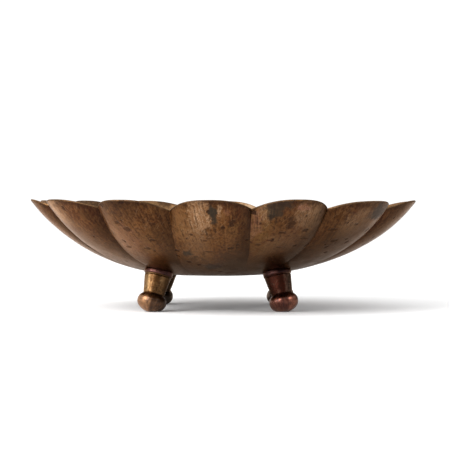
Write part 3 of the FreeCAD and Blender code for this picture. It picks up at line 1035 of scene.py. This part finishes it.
def turned_material(name, light, dark, tarnish, rough_low, rough_high, coat, rubbed=()):
    """Turned metal with tool rings; sides at given angles round it may be painted lighter, partly
    rubbed bright and partly painted highlight, with painted shade on the other sides.
    """
    m = Shader(name)
    here = m.position()
    outwards, sideways, height = m.split(m.attribute("turned", "Vector"))
    angle = m.math("ARCTAN2", sideways, outwards)
    radius = m.node("ShaderNodeVectorMath", {0: m.join(outwards, sideways, 0.0)}, "Value",
                    operation="LENGTH")
    cloud = m.noise(here, 95, 5, 0.6, 0.4)
    blotch = m.noise(here, 230, 5, 0.65, 0.5)
    speck = m.noise(here, 620, 4, 0.65)
    rings = m.noise(m.join(radius, 0.0, height), 3200, 2, 0.5)
    around = m.join(m.math("COSINE", angle), m.math("SINE", angle), m.math("MULTIPLY", height, 30))
    streaks = m.noise(around, 5.0, 4, 0.6, 0.4)
    shade = m.span(cloud, 0.36, 0.62)
    # Lighter sides are rubbed metal and painted highlight; the rest gets the dark colour, partly
    # painted shade
    if rubbed:
        shade = 0.0
        for degrees, wide, strength in rubbed:
            facing = m.math("COSINE", m.math("SUBTRACT", angle, math.radians(degrees)))
            uneven = m.math("ADD", facing, m.span(streaks, 0.3, 0.7, -0.18, 0.18))
            edge = math.cos(math.radians(wide))
            shade = m.math("MAXIMUM", shade, m.span(uneven, edge - 0.25, edge + 0.25, 0.0, strength))
        shade = m.math("MULTIPLY", shade, m.span(cloud, 0.30, 0.55, 0.7, 1.0))
    colour = m.mix(shade, dark, light)
    colour = m.mix(m.span(blotch, 0.54, 0.68, 0.0, 0.55), colour, tarnish)
    colour = m.mix(m.span(blotch, 0.44, 0.30, 0.0, 0.45), colour, light)
    colour = m.mix(m.span(speck, 0.56, 0.70, 0.0, 0.65), colour, tarnish)
    colour = m.mix(m.span(rings, 0.52, 0.72, 0.0, 0.45), colour, tarnish)
    rough = m.span(blotch, 0.35, 0.65, rough_low, rough_high)
    normal = m.bump(rings, TOOL_RING_DEPTH, 0.6)
    normal = m.bump(blotch, BLOTCH_DEPTH, 0.5, normal)
    normal = m.bump(speck, SPECK_DEPTH, 0.6, normal)
    m.lacquer(coat, 0.2)
    return m.finish(colour, 1.0, rough, normal)


def leather_material():
    m = Shader("waxed_leather")
    here = m.position()
    cells = m.cells(here, 1400)
    cloud = m.noise(here, 160, 4)
    colour = m.mix(m.span(cloud, 0.35, 0.65), (0.055, 0.028, 0.014), (0.11, 0.060, 0.032))
    normal = m.bump(cells, LEATHER_GRAIN_DEPTH, 0.7)
    return m.finish(colour, 0.0, m.span(cells, 0.0, 0.6, 0.5, 0.75), normal)


# ---------------------------------------------------------------- studio

AIR_LEFT = -0.75
AIR_RIGHT = 0.45
AIR_BRIGHT = 1.35
AIR_DIM = 0.10
AIR_OVERHEAD = 1.25
AIR_WHITE = 1.1

def build_studio():
    size = 60.0
    floor = new_piece("studio_floor", [(-size, -size, 0), (size, -size, 0),
                                       (size, size, 0), (-size, size, 0)], [(0, 1, 2, 3)])
    floor.data.materials.append(plain_material("studio_white", (0.90, 0.90, 0.90)))

    bpy.context.scene.view_settings.view_transform = "Standard"
    bpy.context.scene.world = build_air()

    add_light("key", (-0.85, -0.75, 0.65), 1.1, 28)
    add_light("fill", (0.85, -0.65, 0.55), 0.24, 2.4)


def build_air():
    """White studio air: a soft bank overhead and to the left, falling off to the right."""
    world = bpy.data.worlds.new("studio_air")
    world.use_nodes = True
    air = Nodes(world.node_tree)
    across, _, up = air.split(air.node("ShaderNodeTexCoord", {}, "Generated"))
    side = air.span(across, AIR_LEFT, AIR_RIGHT, AIR_BRIGHT, AIR_DIM)
    bank = air.span(up, 0.10, 0.60)
    level = air.math("ADD", air.math("MULTIPLY", side, air.math("SUBTRACT", 1.0, bank)),
                     air.math("MULTIPLY", bank, AIR_OVERHEAD))
    seen = air.node("ShaderNodeLightPath", {}, "Is Camera Ray")
    level = air.math("MAXIMUM", level, air.math("MULTIPLY", seen, AIR_WHITE))
    air.connect(air.tree.nodes["Background"].inputs["Strength"], level)
    air.connect(air.tree.nodes["Background"].inputs["Color"], (1.0, 1.0, 1.0))
    return world


def plain_material(name, colour):
    plain = Shader(name)
    plain.surface.inputs["Base Color"].default_value = (*colour, 1)
    plain.surface.inputs["Roughness"].default_value = 0.9
    return plain.material


def add_light(name, place, size, watts):
    data = bpy.data.lights.new(name, "AREA")
    data.size = size
    data.energy = watts
    light = bpy.data.objects.new(name, data)
    light.location = place
    aim = Vector((0, 0, 0.05)) - Vector(place)
    light.rotation_mode = "QUATERNION"
    light.rotation_quaternion = aim.to_track_quat("-Z", "Y")
    bpy.context.scene.collection.objects.link(light)


def build_camera():
    data = bpy.data.cameras.new("camera")
    data.lens = LENS
    data.sensor_width = 36.0
    camera = bpy.data.objects.new("camera", data)
    height = BASE_HEIGHT + BOWL_DEPTH - CAMERA_BELOW_TIPS
    camera.location = (CAMERA_RIGHT, -CAMERA_DISTANCE, height)
    aim = Vector((0, CAMERA_DISTANCE, -AIM_BELOW_CAMERA))
    camera.rotation_mode = "QUATERNION"
    camera.rotation_quaternion = aim.to_track_quat("-Z", "Y")
    bpy.context.scene.collection.objects.link(camera)
    bpy.context.scene.camera = camera


def main():
    materials = {
        "collar": turned_material("collar_tarnished", (0.085, 0.034, 0.028), (0.022, 0.008, 0.008),
                                  (0.012, 0.006, 0.005), rough_low=0.26, rough_high=0.45, coat=0.1),
        "screw": turned_material("screw_brass", (0.33, 0.205, 0.095), (0.130, 0.072, 0.031),
                                 (0.030, 0.015, 0.007), rough_low=0.30, rough_high=0.50, coat=0.1),
        "leather": leather_material(),
    }
    dish = build_dish()
    finish_piece(dish, "bowl_shell", dish_material())
    for number, (name, foot) in enumerate(zip(LEG_NAMES, feet)):
        materials["foot"] = turned_material("foot_" + name, *FOOT_COLOURS[name], rough_low=0.26,
                                            rough_high=0.46, coat=0.35, rubbed=FOOT_WEAR_AND_HIGHLIGHT[name])
        materials["stem"] = turned_material("stem_" + name, *STEM_COLOURS[name], rough_low=0.24,
                                            rough_high=0.46, coat=0.05, rubbed=STEM_WEAR_AND_HIGHLIGHT[name])
        leg = Leg(name, foot, number)
        build_foot(leg, materials["foot"])
        build_stem(leg, materials["stem"])
        build_collar(leg, materials["collar"])
        build_seal(leg, materials["leather"])
        build_washer(leg, materials["screw"])
        build_screw(leg, materials["screw"])
    build_studio()
    build_camera()


main()
